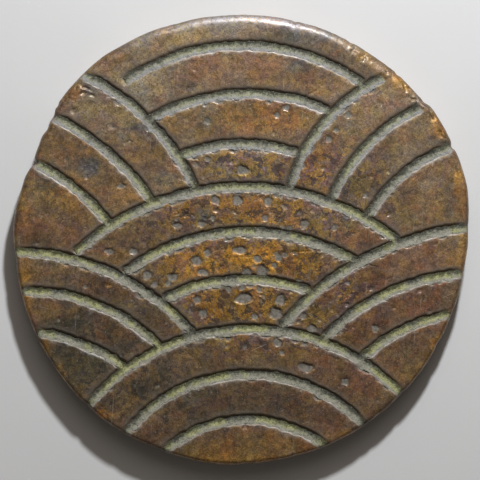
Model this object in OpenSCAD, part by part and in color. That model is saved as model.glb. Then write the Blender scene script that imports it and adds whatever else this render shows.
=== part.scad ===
// Transit token: one hand-cut disc of copper alloy. Its upper face carries seven
// overlapping fans of three concentric arcs each, cut as grooves, and the grooves
// hold a hardened grey-green deposit. The underside is plain and flat.
//
// Frame: the token lies flat, +Z up, the grooved face on top. The origin is the
// middle of the underside. Millimetres.

/* [Disc] */
// Mean diameter of the disc; the outline and the pattern keep in proportion to it
disc_d = 30; // [20:0.5:40]
// Thickness between the two flat faces
disc_t = 2.2; // [1.8:0.1:3]
// How far the worn rim is rounded in from the outline, on both faces
rim_round = 0.5; // [0.2:0.05:0.7]

/* [Grooves] */
// Width of a groove at the face
groove_w = 0.66; // [0.4:0.02:0.8]
// Width of a groove at its floor
floor_w = 0.3; // [0.15:0.01:0.35]
// Depth of the grooves of the rearmost fan
groove_depth = 0.28; // [0.2:0.02:0.4]
// How far below the face the deposit's surface lies in the rearmost fan
deposit_drop = 0.11; // [0.06:0.01:0.16]

/* [Pits] */
// Depth of a pit as a share of its width
pit_depth_share = 0.24; // [0.1:0.02:0.4]

/* [Hidden] */

// Sizes below are those of a disc of this diameter; k brings them to disc_d
pattern_d = 30;
k = disc_d / pattern_d;

// Each fan lies in front of the one before it and is cut a little deeper
row_step = 0.02;
// The deposit lies this much lower in each fan than in the fan behind it
drop_step = 0.01;
// How far a groove's cutter stands above the face
cut_over = 0.2;
// About how far from the pattern's centre the deposit reaches
deposit_reach = 14.4;
// Points round the outline, and rings from a flat face down to the full outline
outline_n = 120;
rim_rings = 4;

// Outline: [direction in degrees, distance from the pattern's centre in mm].
// It bulges at 15 to 33 degrees and is worn in where grooves reach the rim.
OUTLINE = [
    [0, 15.05], [15, 15.4], [33, 15.35], [40, 15.1], [60, 14.95], [90, 14.85],
    [105, 14.9], [120, 15.05], [128, 15.15], [143, 15.1], [150, 14.85],
    [160, 14.7], [165, 14.9], [176, 15.1], [190, 15], [210, 15], [232, 15.05],
    [250, 15], [265, 15], [280, 14.85], [335, 14.8], [350, 14.9]
];

// Grooves by fan, from the rear fan to the front one. An arc is its left end, a
// point near its crown and its right end; past_left and past_right are how far it
// is cut on beyond those ends, in mm, where it runs out over the rim.
// [row, [[left, crown, right, past_left, past_right], ...]]
FANS = [
    // top fan
    [0, [
        [[-7.9, 10.3], [0.1, 12.85], [8.1, 10.3], 0, 0],
        [[-6.2, 7.9], [0, 9.65], [5.9, 8.5], 0, 0],
        [[-4.1, 5.5], [-0.1, 6.35], [3.8, 5.7], 0, 0]
    ]],
    // upper left fan
    [1, [
        [[-9.8, 10.6], [-5.8, 7.55], [-3, 3.4], 1.5, 0],
        [[-12.2, 8], [-8.6, 5.6], [-5.8, 2.4], 1.5, 0],
        [[-13.5, 5], [-11, 3.4], [-8.6, 0.9], 2, 0]
    ]],
    // upper right fan
    [1, [
        [[3.1, 3.2], [5.6, 7.9], [9.6, 10.8], 0, 0],
        [[5.85, 2.5], [8.4, 6.3], [11.8, 8.7], 0, 0.3],
        [[8.3, 1.5], [10.7, 4.3], [13.8, 6.1], 0, 1.5]
    ]],
    // middle fan
    [2, [
        [[-11, -0.9], [-0.2, 3.5], [10.4, -0.1], 0, 0],
        [[-7.8, -2.2], [-0.6, 0.5], [7.7, -1.5], 0, 0],
        [[-5.2, -3.9], [-0.4, -2.65], [4.6, -3.4], 0, 0]
    ]],
    // lower left fan
    [3, [
        [[-14.8, -0.8], [-8.65, -2.15], [-3.1, -6.3], 1.5, 0],
        [[-14.3, -3.4], [-9.65, -4.25], [-5.2, -7.2], 1.5, 0],
        [[-13.1, -6.2], [-10.3, -6.95], [-7.6, -8.5], 0.6, 0]
    ]],
    // lower right fan
    [3, [
        [[2.6, -5.8], [7.9, -1.4], [15.1, 0.8], 0, 1.5],
        [[5.3, -6.7], [9.3, -3.7], [14.7, -2.25], 0, 1.5],
        [[7.9, -7.9], [10.5, -6.05], [13.7, -5], 0, 0.2]
    ]],
    // bottom fan
    [4, [
        [[-10, -10.8], [0.1, -5.9], [10.6, -10.2], 1, 1.5],
        [[-7.5, -12.6], [0.5, -8.9], [8.1, -12.2], 1, 1.5],
        [[-5, -13.9], [0.5, -11.9], [5.6, -13.7], 1, 1.5]
    ]]
];

// Casting pits in the face: [x, y, width]
PITS = [
    // middle fan, between its outer and second arcs
    [-1.7, 2.6, 0.6], [-0.2, 2.6, 0.65], [1.8, 2.5, 0.6], [1.6, 1.4, 0.45],
    [-4.2, 0.9, 0.6], [-2.6, 1, 0.45], [-7.1, -0.8, 0.5], [-8.7, -0.8, 0.6],
    [4.2, 1, 0.55], [6.2, 0.8, 0.4],
    // middle fan, between its second and inner arcs
    [-2.2, -0.9, 0.5], [-2.9, -1.4, 0.7], [-0.1, -0.7, 0.8], [1.1, -1.3, 0.5],
    [2.5, -1.2, 0.5], [0.4, -2.2, 0.5], [1.4, -2.2, 0.85], [-6.2, -2.4, 0.65],
    [-4.5, -2.5, 0.65], [-5.7, -3, 0.45],
    // middle fan, inside its inner arc
    [0.25, -3.9, 0.9], [2.6, -4, 0.7], [-2.9, -4, 0.5], [-2.5, -4.9, 0.55],
    [2.3, -4.9, 0.85], [0.9, -5.1, 0.45], [-0.8, -3.2, 0.5],
    // lower fans
    [4.1, -5.1, 0.4], [4.7, -5.9, 0.65], [4.3, -8.5, 0.85], [6.9, -9.4, 0.5],
    [8.9, -5.9, 0.5], [2.5, -6.9, 0.5],
    // top fan
    [2.4, 8.2, 0.4], [0.1, 4.6, 0.7]
];

// Distance to the outline in direction a: a cosine blend between its two nearest
// points, so that the outline has no corner
function blend(p, q, a) =
    let (t = (1 - cos(180 * (a - p[0]) / (q[0] - p[0]))) / 2)
    p[1] + (q[1] - p[1]) * t;
function outline_r(a) =
    let (
        closed = concat(OUTLINE, [[OUTLINE[0][0] + 360, OUTLINE[0][1]]]),
        i = max([for (j = [0 : len(OUTLINE) - 1]) if (closed[j][0] <= a) j])
    )
    k * blend(closed[i], closed[i + 1], a);
function outline_point(i, inset) =
    let (a = 360 * i / outline_n)
    (outline_r(a) - inset) * [cos(a), sin(a)];

// Moves the middle of the outline's box onto the origin
xs = [for (i = [0 : outline_n - 1]) outline_point(i, 0)[0]];
ys = [for (i = [0 : outline_n - 1]) outline_point(i, 0)[1]];
recentre = -[max(xs) + min(xs), max(ys) + min(ys)] / 2;

// Rings of the blank from the underside to the face: [inset, height]
rim_steps = [for (j = [0 : rim_rings]) 90 * j / rim_rings];
rings = concat(
    [for (a = rim_steps) [rim_round * (1 - sin(a)), rim_round * (1 - cos(a))]],
    [for (j = [rim_rings : -1 : 0])
        let (a = rim_steps[j])
        [rim_round * (1 - sin(a)), disc_t - rim_round * (1 - cos(a))]]
);

// The plain disc before cutting: the outline with a rounded rim
module blank() {
    n = outline_n;
    top = len(rings) - 1;
    points = [for (ring = rings, i = [0 : n - 1])
        let (p = outline_point(i, ring[0])) [p[0], p[1], ring[1]]];
    sides = [for (j = [0 : top - 1], i = [0 : n - 1])
        let (next = (i + 1) % n)
        [j * n + i, (j + 1) * n + i, (j + 1) * n + next, j * n + next]];
    underside = [for (i = [0 : n - 1]) i];
    face = [for (i = [n - 1 : -1 : 0]) top * n + i];
    polyhedron(points = points, faces = concat(sides, [underside, face]));
}

// Centre of the circle through three points
function circle_centre(p, q, s) =
    let (
        d = 2 * (p[0] * (q[1] - s[1]) + q[0] * (s[1] - p[1]) + s[0] * (p[1] - q[1])),
        pp = p * p, qq = q * q, ss = s * s
    )
    [
        (pp * (q[1] - s[1]) + qq * (s[1] - p[1]) + ss * (p[1] - q[1])) / d,
        (pp * (s[0] - q[0]) + qq * (p[0] - s[0]) + ss * (q[0] - p[0])) / d
    ];
function direction(v) = atan2(v[1], v[0]);

// Sweeps the children's outline, drawn at the arc's radius, along one arc, which
// runs on by past_left and past_right beyond its ends.
module along(arc, past_left, past_right) {
    centre = k * circle_centre(arc[0], arc[1], arc[2]);
    r = norm(k * arc[1] - centre);
    a_left = direction(k * arc[0] - centre) + past_left / r * 180 / PI;
    a_right = direction(k * arc[2] - centre) - past_right / r * 180 / PI;
    translate([centre[0], centre[1], 0])
    rotate([0, 0, a_right])
    rotate_extrude(angle = a_left - a_right, $fn = 180)
    translate([r, 0])
    children();
}

// Section of a groove between two heights; its walls widen evenly upward
function width_at(z, depth) =
    floor_w + (groove_w - floor_w) * (z - (disc_t - depth)) / depth;
module section(depth, z_low, z_high) {
    w_low = width_at(z_low, depth) / 2;
    w_high = width_at(z_high, depth) / 2;
    polygon([[-w_low, z_low], [w_low, z_low], [w_high, z_high], [-w_high, z_high]]);
}

// Cutters for all the grooves
module groove_cutters() {
    for (fan = FANS, arc = fan[1]) {
        depth = groove_depth + fan[0] * row_step;
        along(arc, arc[3], arc[4])
        section(depth, disc_t - depth, disc_t + cut_over);
    }
}

// A pit is the cap of a sphere that meets the face in a circle of the pit's width
module pit(x, y, w) {
    depth = w * pit_depth_share;
    r = (w * w / 4 + depth * depth) / (2 * depth);
    translate([k * x, k * y, disc_t - depth + r]) sphere(r = r, $fn = 32);
}

// Copper disc with its grooves and pits
module token_disc() {
    color([0.45, 0.27, 0.13])
    translate([recentre[0], recentre[1], 0])
    difference() {
        blank();
        groove_cutters();
        for (p = PITS) pit(p[0], p[1], p[2]);
    }
}

// Deposit packed in the lower part of every groove, against its floor and walls. It
// ends just inside the rounded rim.
module groove_deposit() {
    color([0.52, 0.54, 0.42])
    translate([recentre[0], recentre[1], 0])
    for (fan = FANS, arc = fan[1]) {
        depth = groove_depth + fan[0] * row_step;
        past_left = arc[3] > 0 ? k * (deposit_reach - norm(arc[0])) : 0;
        past_right = arc[4] > 0 ? k * (deposit_reach - norm(arc[2])) : 0;
        along(arc, past_left, past_right)
        section(depth, disc_t - depth, disc_t - deposit_drop - fan[0] * drop_step);
    }
}

token_disc();
groove_deposit();
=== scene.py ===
import bpy
import numpy as np
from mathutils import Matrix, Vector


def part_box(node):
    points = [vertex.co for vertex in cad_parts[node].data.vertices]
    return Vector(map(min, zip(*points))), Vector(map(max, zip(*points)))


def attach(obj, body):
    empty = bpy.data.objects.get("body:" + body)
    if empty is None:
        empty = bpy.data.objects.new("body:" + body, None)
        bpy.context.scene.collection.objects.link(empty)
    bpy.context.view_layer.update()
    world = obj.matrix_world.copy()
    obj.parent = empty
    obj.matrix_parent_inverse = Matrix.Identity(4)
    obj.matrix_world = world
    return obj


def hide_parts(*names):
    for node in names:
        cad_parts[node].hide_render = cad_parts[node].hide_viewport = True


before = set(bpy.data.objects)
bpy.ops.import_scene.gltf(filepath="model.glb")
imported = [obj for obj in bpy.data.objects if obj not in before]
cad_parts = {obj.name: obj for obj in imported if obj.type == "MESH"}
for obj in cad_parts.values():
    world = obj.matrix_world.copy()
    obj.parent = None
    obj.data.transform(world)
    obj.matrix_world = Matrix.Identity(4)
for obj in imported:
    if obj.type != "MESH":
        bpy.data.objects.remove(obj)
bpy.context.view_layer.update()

disc_low, disc_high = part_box("token_disc")
MM = 0.001
THICK = (disc_high.z - disc_low.z) / MM

# ---- The token's drawing

# Outline: (direction in degrees, distance from the pattern's centre)
OUTLINE = [
    (0, 15.05), (15, 15.4), (33, 15.35), (40, 15.1), (60, 14.95), (90, 14.85),
    (105, 14.9), (120, 15.05), (128, 15.15), (143, 15.1), (150, 14.85),
    (160, 14.7), (165, 14.9), (176, 15.1), (190, 15), (210, 15), (232, 15.05),
    (250, 15), (265, 15), (280, 14.85), (335, 14.8), (350, 14.9),
]
# About the radius of the outline, and of the upper face inside its rounded rim
RADIUS = 15.0
FACE_RADIUS = 14.0

# Grooves, rear fan first: left end, crown and right end of each arc, how far it is cut
# on beyond either end, out over the rim, and how many bites its chipped inner lip has
GROOVES = {
    "top_outer": ((-7.9, 10.3), (0.1, 12.85), (8.1, 10.3), 0, 0, 0),
    "top_middle": ((-6.2, 7.9), (0, 9.65), (5.9, 8.5), 0, 0, 12),
    "top_inner": ((-4.1, 5.5), (-0.1, 6.35), (3.8, 5.7), 0, 0, 14),
    "upper_left_outer": ((-9.8, 10.6), (-5.8, 7.55), (-3, 3.4), 1.5, 0, 8),
    "upper_left_middle": ((-12.2, 8), (-8.6, 5.6), (-5.8, 2.4), 1.5, 0, 0),
    "upper_left_inner": ((-13.5, 5), (-11, 3.4), (-8.6, 0.9), 2, 0, 0),
    "upper_right_outer": ((3.1, 3.2), (5.6, 7.9), (9.6, 10.8), 0, 0, 14),
    "upper_right_middle": ((5.85, 2.5), (8.4, 6.3), (11.8, 8.7), 0, 0.3, 0),
    "upper_right_inner": ((8.3, 1.5), (10.7, 4.3), (13.8, 6.1), 0, 1.5, 0),
    "centre_outer": ((-11, -0.9), (-0.2, 3.5), (10.4, -0.1), 0, 0, 34),
    "centre_middle": ((-7.8, -2.2), (-0.6, 0.5), (7.7, -1.5), 0, 0, 30),
    "centre_inner": ((-5.2, -3.9), (-0.4, -2.65), (4.6, -3.4), 0, 0, 16),
    "lower_left_outer": ((-14.8, -0.8), (-8.65, -2.15), (-3.1, -6.3), 1.5, 0, 10),
    "lower_left_middle": ((-14.3, -3.4), (-9.65, -4.25), (-5.2, -7.2), 1.5, 0, 0),
    "lower_left_inner": ((-13.1, -6.2), (-10.3, -6.95), (-7.6, -8.5), 0.6, 0, 0),
    "lower_right_outer": ((2.6, -5.8), (7.9, -1.4), (15.1, 0.8), 0, 1.5, 16),
    "lower_right_middle": ((5.3, -6.7), (9.3, -3.7), (14.7, -2.25), 0, 1.5, 10),
    "lower_right_inner": ((7.9, -7.9), (10.5, -6.05), (13.7, -5), 0, 0.2, 0),
    "bottom_outer": ((-10, -10.8), (0.1, -5.9), (10.6, -10.2), 1, 1.5, 26),
    "bottom_middle": ((-7.5, -12.6), (0.5, -8.9), (8.1, -12.2), 1, 1.5, 10),
    "bottom_inner": ((-5, -13.9), (0.5, -11.9), (5.6, -13.7), 1, 1.5, 0),
}
# Half the width of a groove between its lips, and the grooves' mean depth
HALF_WIDTH = 0.35
DEPTH = 0.32
# Over how many millimetres a groove's end fades out, unless DYING has it
SHORT_END = 0.25
# The share of the grooves' depth that is left at the rim, and how far in it is full
RIM_SHARE = 0.22
RIM_FADE = 1.2

# Grooves that die out slowly at one end, and over how many millimetres
DYING = {
    "top_outer": ("left", 1.3), "upper_right_outer": ("right", 1.2),
    "upper_right_middle": ("right", 0.8), "lower_left_inner": ("left", 0.6),
}

# Depth of a bite in a lip as a share of its half width
BITE_DEPTH = 0.36

# Casting pits: x, y, width, and height over width
PITS = [
    (-1.7, 2.6, 0.6, 1), (-0.2, 2.6, 0.65, 1), (1.8, 2.5, 0.6, 1), (1.6, 1.4, 0.45, 1),
    (-4.2, 0.9, 0.6, 0.6), (-2.6, 1, 0.45, 1), (-7.1, -0.8, 0.5, 0.9),
    (-8.7, -0.8, 0.6, 0.7), (4.2, 1, 0.55, 1), (6.2, 0.8, 0.4, 1), (3.2, 0.7, 0.4, 1),
    (3.7, 0.35, 0.4, 1), (2.8, 0.65, 0.35, 1), (-1.85, 1.4, 0.35, 1),
    (-2.2, -0.9, 0.5, 1), (-2.9, -1.4, 0.7, 0.9), (-0.1, -0.7, 1.0, 0.5),
    (1.1, -1.3, 0.5, 1), (2.5, -1.2, 0.5, 1), (2.9, -1.05, 0.35, 1),
    (2.2, -1.7, 0.35, 1), (0.4, -2.2, 0.6, 1), (1.4, -2.2, 0.85, 1),
    (-2.5, -2.2, 0.75, 0.6), (-6.2, -2.4, 0.65, 0.8), (-4.5, -2.5, 0.65, 0.9),
    (-5.7, -3, 0.45, 1), (-4.8, -2.9, 0.4, 1), (0.25, -3.9, 1.2, 0.6),
    (2.6, -4, 0.7, 1), (-2.9, -4, 0.5, 1), (-2.5, -4.9, 0.55, 1), (2.3, -4.9, 0.85, 0.9),
    (0.9, -5.1, 0.45, 1), (-0.8, -3.2, 0.5, 1), (0.1, -3.2, 0.4, 1),
    (1.2, -3.3, 0.4, 1), (3.8, -2.8, 0.35, 1), (4.1, -5.1, 0.4, 1),
    (4.7, -5.9, 0.65, 0.9), (4.3, -8.5, 0.95, 0.65), (6.9, -9.4, 0.5, 1),
    (8.9, -5.9, 0.5, 1), (2.4, -6.8, 0.55, 1), (2.7, -7.5, 0.35, 1),
    (4.2, -6.9, 0.5, 0.8), (-0.8, -6.5, 0.5, 0.8), (2.4, 8.2, 0.4, 1),
    (-2.2, 7.8, 0.4, 1), (5.8, 6.6, 0.45, 1), (-7.9, 3.5, 0.6, 0.5),
    (0.1, 4.6, 0.8, 0.9), (-2.2, 5.3, 0.45, 0.7), (7.1, 8.2, 0.45, 0.9),
    (6.3, 7.2, 0.4, 0.7), (3, 8.7, 0.5, 0.8), (4.8, 7.1, 0.4, 0.8), (8.2, 2.9, 0.35, 1),
]

# Depth of a pit as a share of its width, and how many small ones there are besides
PIT_DEPTH = 0.17
SMALL_PITS = 380

# Where the face is thick with small pits: x, y, half width, half height, strength
PITTED = [
    (0.5, -1.6, 7.5, 3.2, 1), (0.5, 2, 7, 1.4, 0.8), (0.2, -4.4, 4, 1.6, 1),
    (4.5, 4.2, 3, 2.5, 0.6), (0, 5, 3.2, 1.2, 0.9), (0.5, -7, 6, 1.2, 0.5),
    (5.5, -4.5, 3, 2, 0.7), (1, 8.3, 4, 1, 0.35), (8, 4, 3, 3, 0.4),
]


def smooth(t):
    """0 below 0, 1 above 1, and an even curve between"""
    t = np.clip(t, 0, 1)
    return t * t * (3 - 2 * t)


def lattice(i, j, seed):
    """A random number from 0 to 1 for each lattice point"""
    n = (i * 374761393 + j * 668265263 + seed * 974634777) & 0xFFFFFFFF
    n = ((n ^ (n >> 13)) * 1274126177) & 0xFFFFFFFF
    return ((n ^ (n >> 16)) & 0xFFFFFF) / 0xFFFFFF


def noise(x, y, size, seed):
    """Smooth noise from about -1 to 1, with features of that size in mm"""
    u, v = x / size, y / size
    i, j = np.floor(u).astype(np.int64), np.floor(v).astype(np.int64)
    u, v = u - i, v - j

    def corner(di, dj):
        angle = 2 * np.pi * lattice(i + di, j + dj, seed)
        return np.cos(angle) * (u - di) + np.sin(angle) * (v - dj)

    low = corner(0, 0) * (1 - smooth(u)) + corner(1, 0) * smooth(u)
    high = corner(0, 1) * (1 - smooth(u)) + corner(1, 1) * smooth(u)
    return 1.5 * (low * (1 - smooth(v)) + high * smooth(v))


def ripple(along, size, seed):
    """Smooth noise along a line"""
    return noise(along, along * 0, size, seed)


def rough(x, y, size, seed):
    """Noise with three finer and fainter layers on it"""
    return sum(noise(x, y, size / 2**k, seed + k) * 0.55**k for k in range(4))


def blob(x, y, cx, cy, half_width, half_height):
    """1 in the middle of an oval patch, falling to 0 well outside it"""
    return np.exp(-(((x - cx) / half_width) ** 2) - ((y - cy) / half_height) ** 2)


def outline_radius(degrees):
    """Distance to the outline in a direction, a cosine blend between its points"""
    angle = np.mod(degrees, 360)
    knots = np.array([a for a, _ in OUTLINE] + [360.0])
    radii = np.array([r for _, r in OUTLINE] + [OUTLINE[0][1]])
    i = np.clip(np.searchsorted(knots, angle, side="right") - 1, 0, len(OUTLINE) - 1)
    t = (1 - np.cos(np.pi * (angle - knots[i]) / (knots[i + 1] - knots[i]))) / 2
    return radii[i] + (radii[i + 1] - radii[i]) * t


# Nicks in the rim: direction in degrees, half width in degrees, depth
NICKS = [
    (159.8, 0.9, 0.22), (150.6, 1.2, 0.12), (146.5, 1.5, 0.1), (144, 0.8, 0.08),
    (23.6, 0.8, 0.14), (36.8, 0.9, 0.08), (46.5, 0.7, 0.06), (227.2, 0.8, 0.06),
    (185.5, 1, 0.05), (316.5, 0.9, 0.07), (308, 0.9, 0.05), (332, 1.2, 0.06),
    (270.8, 0.5, 0.05), (76, 0.6, 0.05), (61, 0.8, 0.05),
]


def around_rim(degrees, size, seed):
    """Smooth noise round the rim"""
    a = np.radians(degrees)
    return noise(RADIUS * np.cos(a), RADIUS * np.sin(a), size, seed)


def worn_radius(degrees):
    """The outline with its nicks and a hand-made unevenness"""
    radius = outline_radius(degrees)
    radius = radius + 0.03 * around_rim(degrees, 1.6, 11)
    radius = radius + 0.012 * around_rim(degrees, 0.5, 12)
    for centre, half_width, depth in NICKS:
        away = np.mod(degrees - centre + 180, 360) - 180
        radius = radius - depth * np.exp(-((away / half_width) ** 2))
    return radius


def inset_of(x, y):
    """How far inside the worn outline each point lies"""
    return worn_radius(np.degrees(np.arctan2(y, x))) - np.hypot(x, y)


# The middle of the outline's box
around = np.linspace(0, 360, 1440, endpoint=False)
edge_x = outline_radius(around) * np.cos(np.radians(around))
edge_y = outline_radius(around) * np.sin(np.radians(around))
MIDDLE_X = (edge_x.max() + edge_x.min()) / 2
MIDDLE_Y = (edge_y.max() + edge_y.min()) / 2


def to_frame(x, y, z):
    """Points in the pattern's millimetres as points in the frame"""
    centre = (disc_low + disc_high) / 2
    return np.column_stack([
        (x - MIDDLE_X) * MM + centre.x,
        (y - MIDDLE_Y) * MM + centre.y,
        z * MM + disc_low.z,
    ])


def circle_through(p, q, s):
    """Centre and radius of the circle through three points"""
    (ax, ay), (bx, by), (cx, cy) = p, q, s
    aa, bb, cc = ax * ax + ay * ay, bx * bx + by * by, cx * cx + cy * cy
    d = 2 * (ax * (by - cy) + bx * (cy - ay) + cx * (ay - by))
    x = (aa * (by - cy) + bb * (cy - ay) + cc * (ay - by)) / d
    y = (aa * (cx - bx) + bb * (ax - cx) + cc * (bx - ax)) / d
    return x, y, np.hypot(ax - x, ay - y)


def lip_bites(along, off, length, count, seed):
    """Depth of the small scallops bitten out of one groove's inner lip, at points given
    by their place along the groove and their distance off its middle"""
    rng = np.random.RandomState(seed)
    depth = np.zeros_like(along)
    for _ in range(count):
        at = rng.uniform(0.02, 0.98) * length
        size = rng.uniform(0.1, 0.24)
        reach = rng.uniform(0.95, 1.35) * HALF_WIDTH
        u = (along - at) / (size * rng.uniform(1, 2))
        v = (off + reach) / size
        depth = np.maximum(depth, BITE_DEPTH * size * np.clip(1 - u**2 - v**2, 0, 1))
    return depth


def groove_field(x, y):
    """The grooves at each point: their depth, the place across the nearest groove from
    -1 at its inner lip to 1 at its outer lip, the same place blended where two grooves
    meet, the share of the groove that is left, and the depth of the bites in its lip"""
    depth = np.zeros_like(x)
    across = np.full_like(x, 9.0)
    weight = np.full_like(x, 1e-6)
    blended = np.zeros_like(x)
    strength = np.zeros_like(x)
    bites = np.zeros_like(x)
    at_rim = RIM_SHARE + (1 - RIM_SHARE) * smooth(inset_of(x, y) / RIM_FADE)
    for number, (name, arc) in enumerate(GROOVES.items()):
        left, crown, right, past_left, past_right, bite_count = arc
        cx, cy, radius = circle_through(left, crown, right)
        angle_left = np.arctan2(left[1] - cy, left[0] - cx)
        angle_right = np.arctan2(right[1] - cy, right[0] - cx)
        length = (angle_left - angle_right) * radius
        near = np.abs(np.hypot(x - cx, y - cy) - radius) < 3 * HALF_WIDTH
        px, py = x[near], y[near]
        along = (angle_left - np.arctan2(py - cy, px - cx)) * radius
        seed = 100 + 10 * number
        wander = 0.05 * ripple(along, 1.9, seed)
        wander = wander + 0.025 * ripple(along, 0.55, seed + 1)
        half = HALF_WIDTH * (1 + 0.12 * ripple(along, 1.3, seed + 2))
        half_outer = half * (1 + 0.14 * ripple(along, 0.4, seed + 3))
        half_inner = half * (1 + 0.16 * ripple(along, 0.45, seed + 4))
        off = np.hypot(px - cx, py - cy) - radius - wander
        t = np.where(off > 0, off / half_outer, off / half_inner)
        # Both walls are worn round, and the floor is short
        cut = smooth((1.24 - t) / 1.1) * smooth((t + 1.2) / 0.95)
        fade = at_rim[near]
        ends = {"left": -past_left - along, "right": along - length - past_right}
        dying_side, dying_reach = DYING.get(name, ("", 0))
        for side, beyond in ends.items():
            reach = dying_reach if side == dying_side else SHORT_END
            fade = fade * (1 - smooth((beyond + reach) / (reach + 0.15)))
        d = DEPTH * (1 + 0.12 * ripple(along, 1.1, seed + 5)) * cut * fade
        closer = (np.abs(t) < np.abs(across[near])) & (fade > 0.15)
        depth[near] = np.maximum(d, depth[near])
        across[near] = np.where(closer, t, across[near])
        strength[near] = np.maximum(strength[near], np.where(np.abs(t) < 1.6, fade, 0))
        weight[near] += cut * fade
        blended[near] += cut * fade * t
        bitten = lip_bites(along, off, length, bite_count, seed)
        bites[near] = np.maximum(bites[near], bitten)
    return depth, across, blended / weight, strength, bites


def pitted_share(x, y):
    """How thick with small pits the face is, from 0 to 1"""
    share = sum(s * blob(x, y, cx, cy, hw, hh) for cx, cy, hw, hh, s in PITTED)
    return np.clip(share, 0, 1)


def small_pits(count, seed):
    """Small pits at random, most of them where the face is pitted"""
    rng = np.random.RandomState(seed)
    found = []
    while len(found) < count:
        x, y = rng.uniform(-FACE_RADIUS, FACE_RADIUS, 2)
        size, squash = 0.1 + 0.26 * rng.uniform() ** 2, rng.uniform(0.45, 1)
        turn, filled = rng.uniform(0, np.pi), rng.uniform(0, 0.8)
        wanted = 0.08 + 0.92 * pitted_share(np.array(x), np.array(y)) ** 1.5
        if np.hypot(x, y) < FACE_RADIUS and rng.uniform() < wanted:
            found.append((x, y, size, squash, turn, filled))
    return found


def pit_field(x, y):
    """Depth of the pits at each point, and how much of their pale filling lies there"""
    depth = np.zeros_like(x)
    filling = np.zeros_like(x)
    rng = np.random.RandomState(5)
    listed = [(*pit, rng.uniform(-0.3, 0.3), 1) for pit in PITS]
    every_pit = listed + small_pits(SMALL_PITS, 6)
    for number, (px, py, width, ratio, turn, filled) in enumerate(every_pit):
        half = width / 2
        near = (np.abs(x - px) < width) & (np.abs(y - py) < width)
        if not near.any():
            continue
        dx, dy = x[near] - px, y[near] - py
        u = dx * np.cos(turn) + dy * np.sin(turn)
        v = (dy * np.cos(turn) - dx * np.sin(turn)) / ratio
        edge = half * (1.06 + 0.34 * noise(x[near], y[near], half * 0.9, 300 + number))
        t = np.hypot(u, v) / edge
        share = smooth((1.1 - t) / 0.4)
        depth[near] = np.maximum(depth[near], PIT_DEPTH * width * ratio**0.5 * share)
        filling[near] = np.maximum(filling[near], filled * smooth((1.1 - t) / 0.3))
    return depth, filling


# Dents (and, with a minus, lumps): x, y, half length, half width, turn, depth
DENTS = [
    (-10.25, 9.98, 0.32, 0.09, -30, 0.13), (-9.83, 9.48, 0.17, 0.11, -35, 0.1),
    (-10.45, 9.65, 0.15, 0.1, 20, 0.12), (-10.75, 9.78, 0.3, 0.2, 0, -0.05),
    (-10.02, 9.76, 0.26, 0.12, -30, -0.05), (-11.15, 9.2, 0.34, 0.26, 40, -0.03),
    (-10.9, 10.0, 0.16, 0.08, 60, 0.07), (-11.4, 9.45, 0.2, 0.07, 30, 0.06),
    (-12.02, 9.0, 0.2, 0.12, 45, 0.2), (-12.35, 8.45, 0.14, 0.1, 50, 0.22),
    (-11.8, 9.3, 0.12, 0.07, 20, 0.12), (7.45, 12.55, 0.5, 0.16, 65, 0.07),
    (8.15, 12.1, 0.42, 0.14, 60, 0.08), (7.85, 12.3, 0.3, 0.1, 62, -0.04),
    (8.9, 11.9, 0.3, 0.12, 20, 0.08), (9.9, 11.05, 0.34, 0.2, -40, 0.09),
    (10.9, 10.1, 0.5, 0.17, -50, 0.1), (11.45, 9.2, 0.3, 0.16, -40, 0.1),
    (12.6, 8.1, 0.4, 0.14, -55, 0.08), (13.3, 6.8, 0.4, 0.12, -60, 0.08),
    (13.5, 6.35, 0.3, 0.1, 10, 0.14), (14.2, 4.4, 0.4, 0.1, -75, 0.05),
    (-8.75, -3.05, 0.2, 0.1, -20, 0.05), (-3.4, 10.0, 0.35, 0.2, 10, 0.03),
    (-10.1, 4.8, 0.6, 0.45, 40, 0.03), (-5.9, 6.9, 0.5, 0.22, -10, 0.03),
    (-7.4, 6.4, 0.26, 0.2, 0, 0.04), (-13.6, 1.6, 0.3, 0.1, 80, 0.05),
    (-6.4, 14, 0.5, 0.1, 25, 0.06), (-4.5, 14.0, 0.4, 0.08, 15, 0.05),
    (3.6, 11.6, 0.7, 0.3, -15, 0.02), (5.9, 9.6, 0.5, 0.2, 30, 0.02),
]

# Scratches, listed in the same way
SCRATCHES = [
    (0.16, -1.19, 1.7, 0.03, 4, 0.022), (4.2, -0.83, 1.7, 0.03, 3, 0.02),
    (4.55, 9.6, 0.5, 0.06, 27, 0.05), (6.5, -3.7, 0.7, 0.035, 58, 0.022),
    (6.9, -3.9, 0.6, 0.03, 64, 0.02), (6.1, -3.2, 0.5, 0.03, 50, 0.02),
    (8.5, -1.7, 0.6, 0.04, -20, 0.025), (-6.6, 8.9, 0.9, 0.03, 74, 0.018),
    (-9.1, 6.3, 0.5, 0.03, 35, 0.02), (9.3, 8.6, 1.0, 0.025, 84, 0.018),
    (7.3, 9.9, 0.8, 0.03, 80, 0.02), (11.9, 3.6, 0.8, 0.03, 86, 0.02),
    (2.4, 8.3, 1.1, 0.025, 12, 0.018), (-3.1, -7.9, 1.3, 0.03, -38, 0.02),
    (1.8, -9.6, 1.2, 0.03, 32, 0.02), (-7.6, -5.4, 0.9, 0.03, 20, 0.02),
    (9.9, -7.6, 0.9, 0.03, 72, 0.02), (-12.4, 2.2, 0.8, 0.03, 48, 0.02),
]


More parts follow.
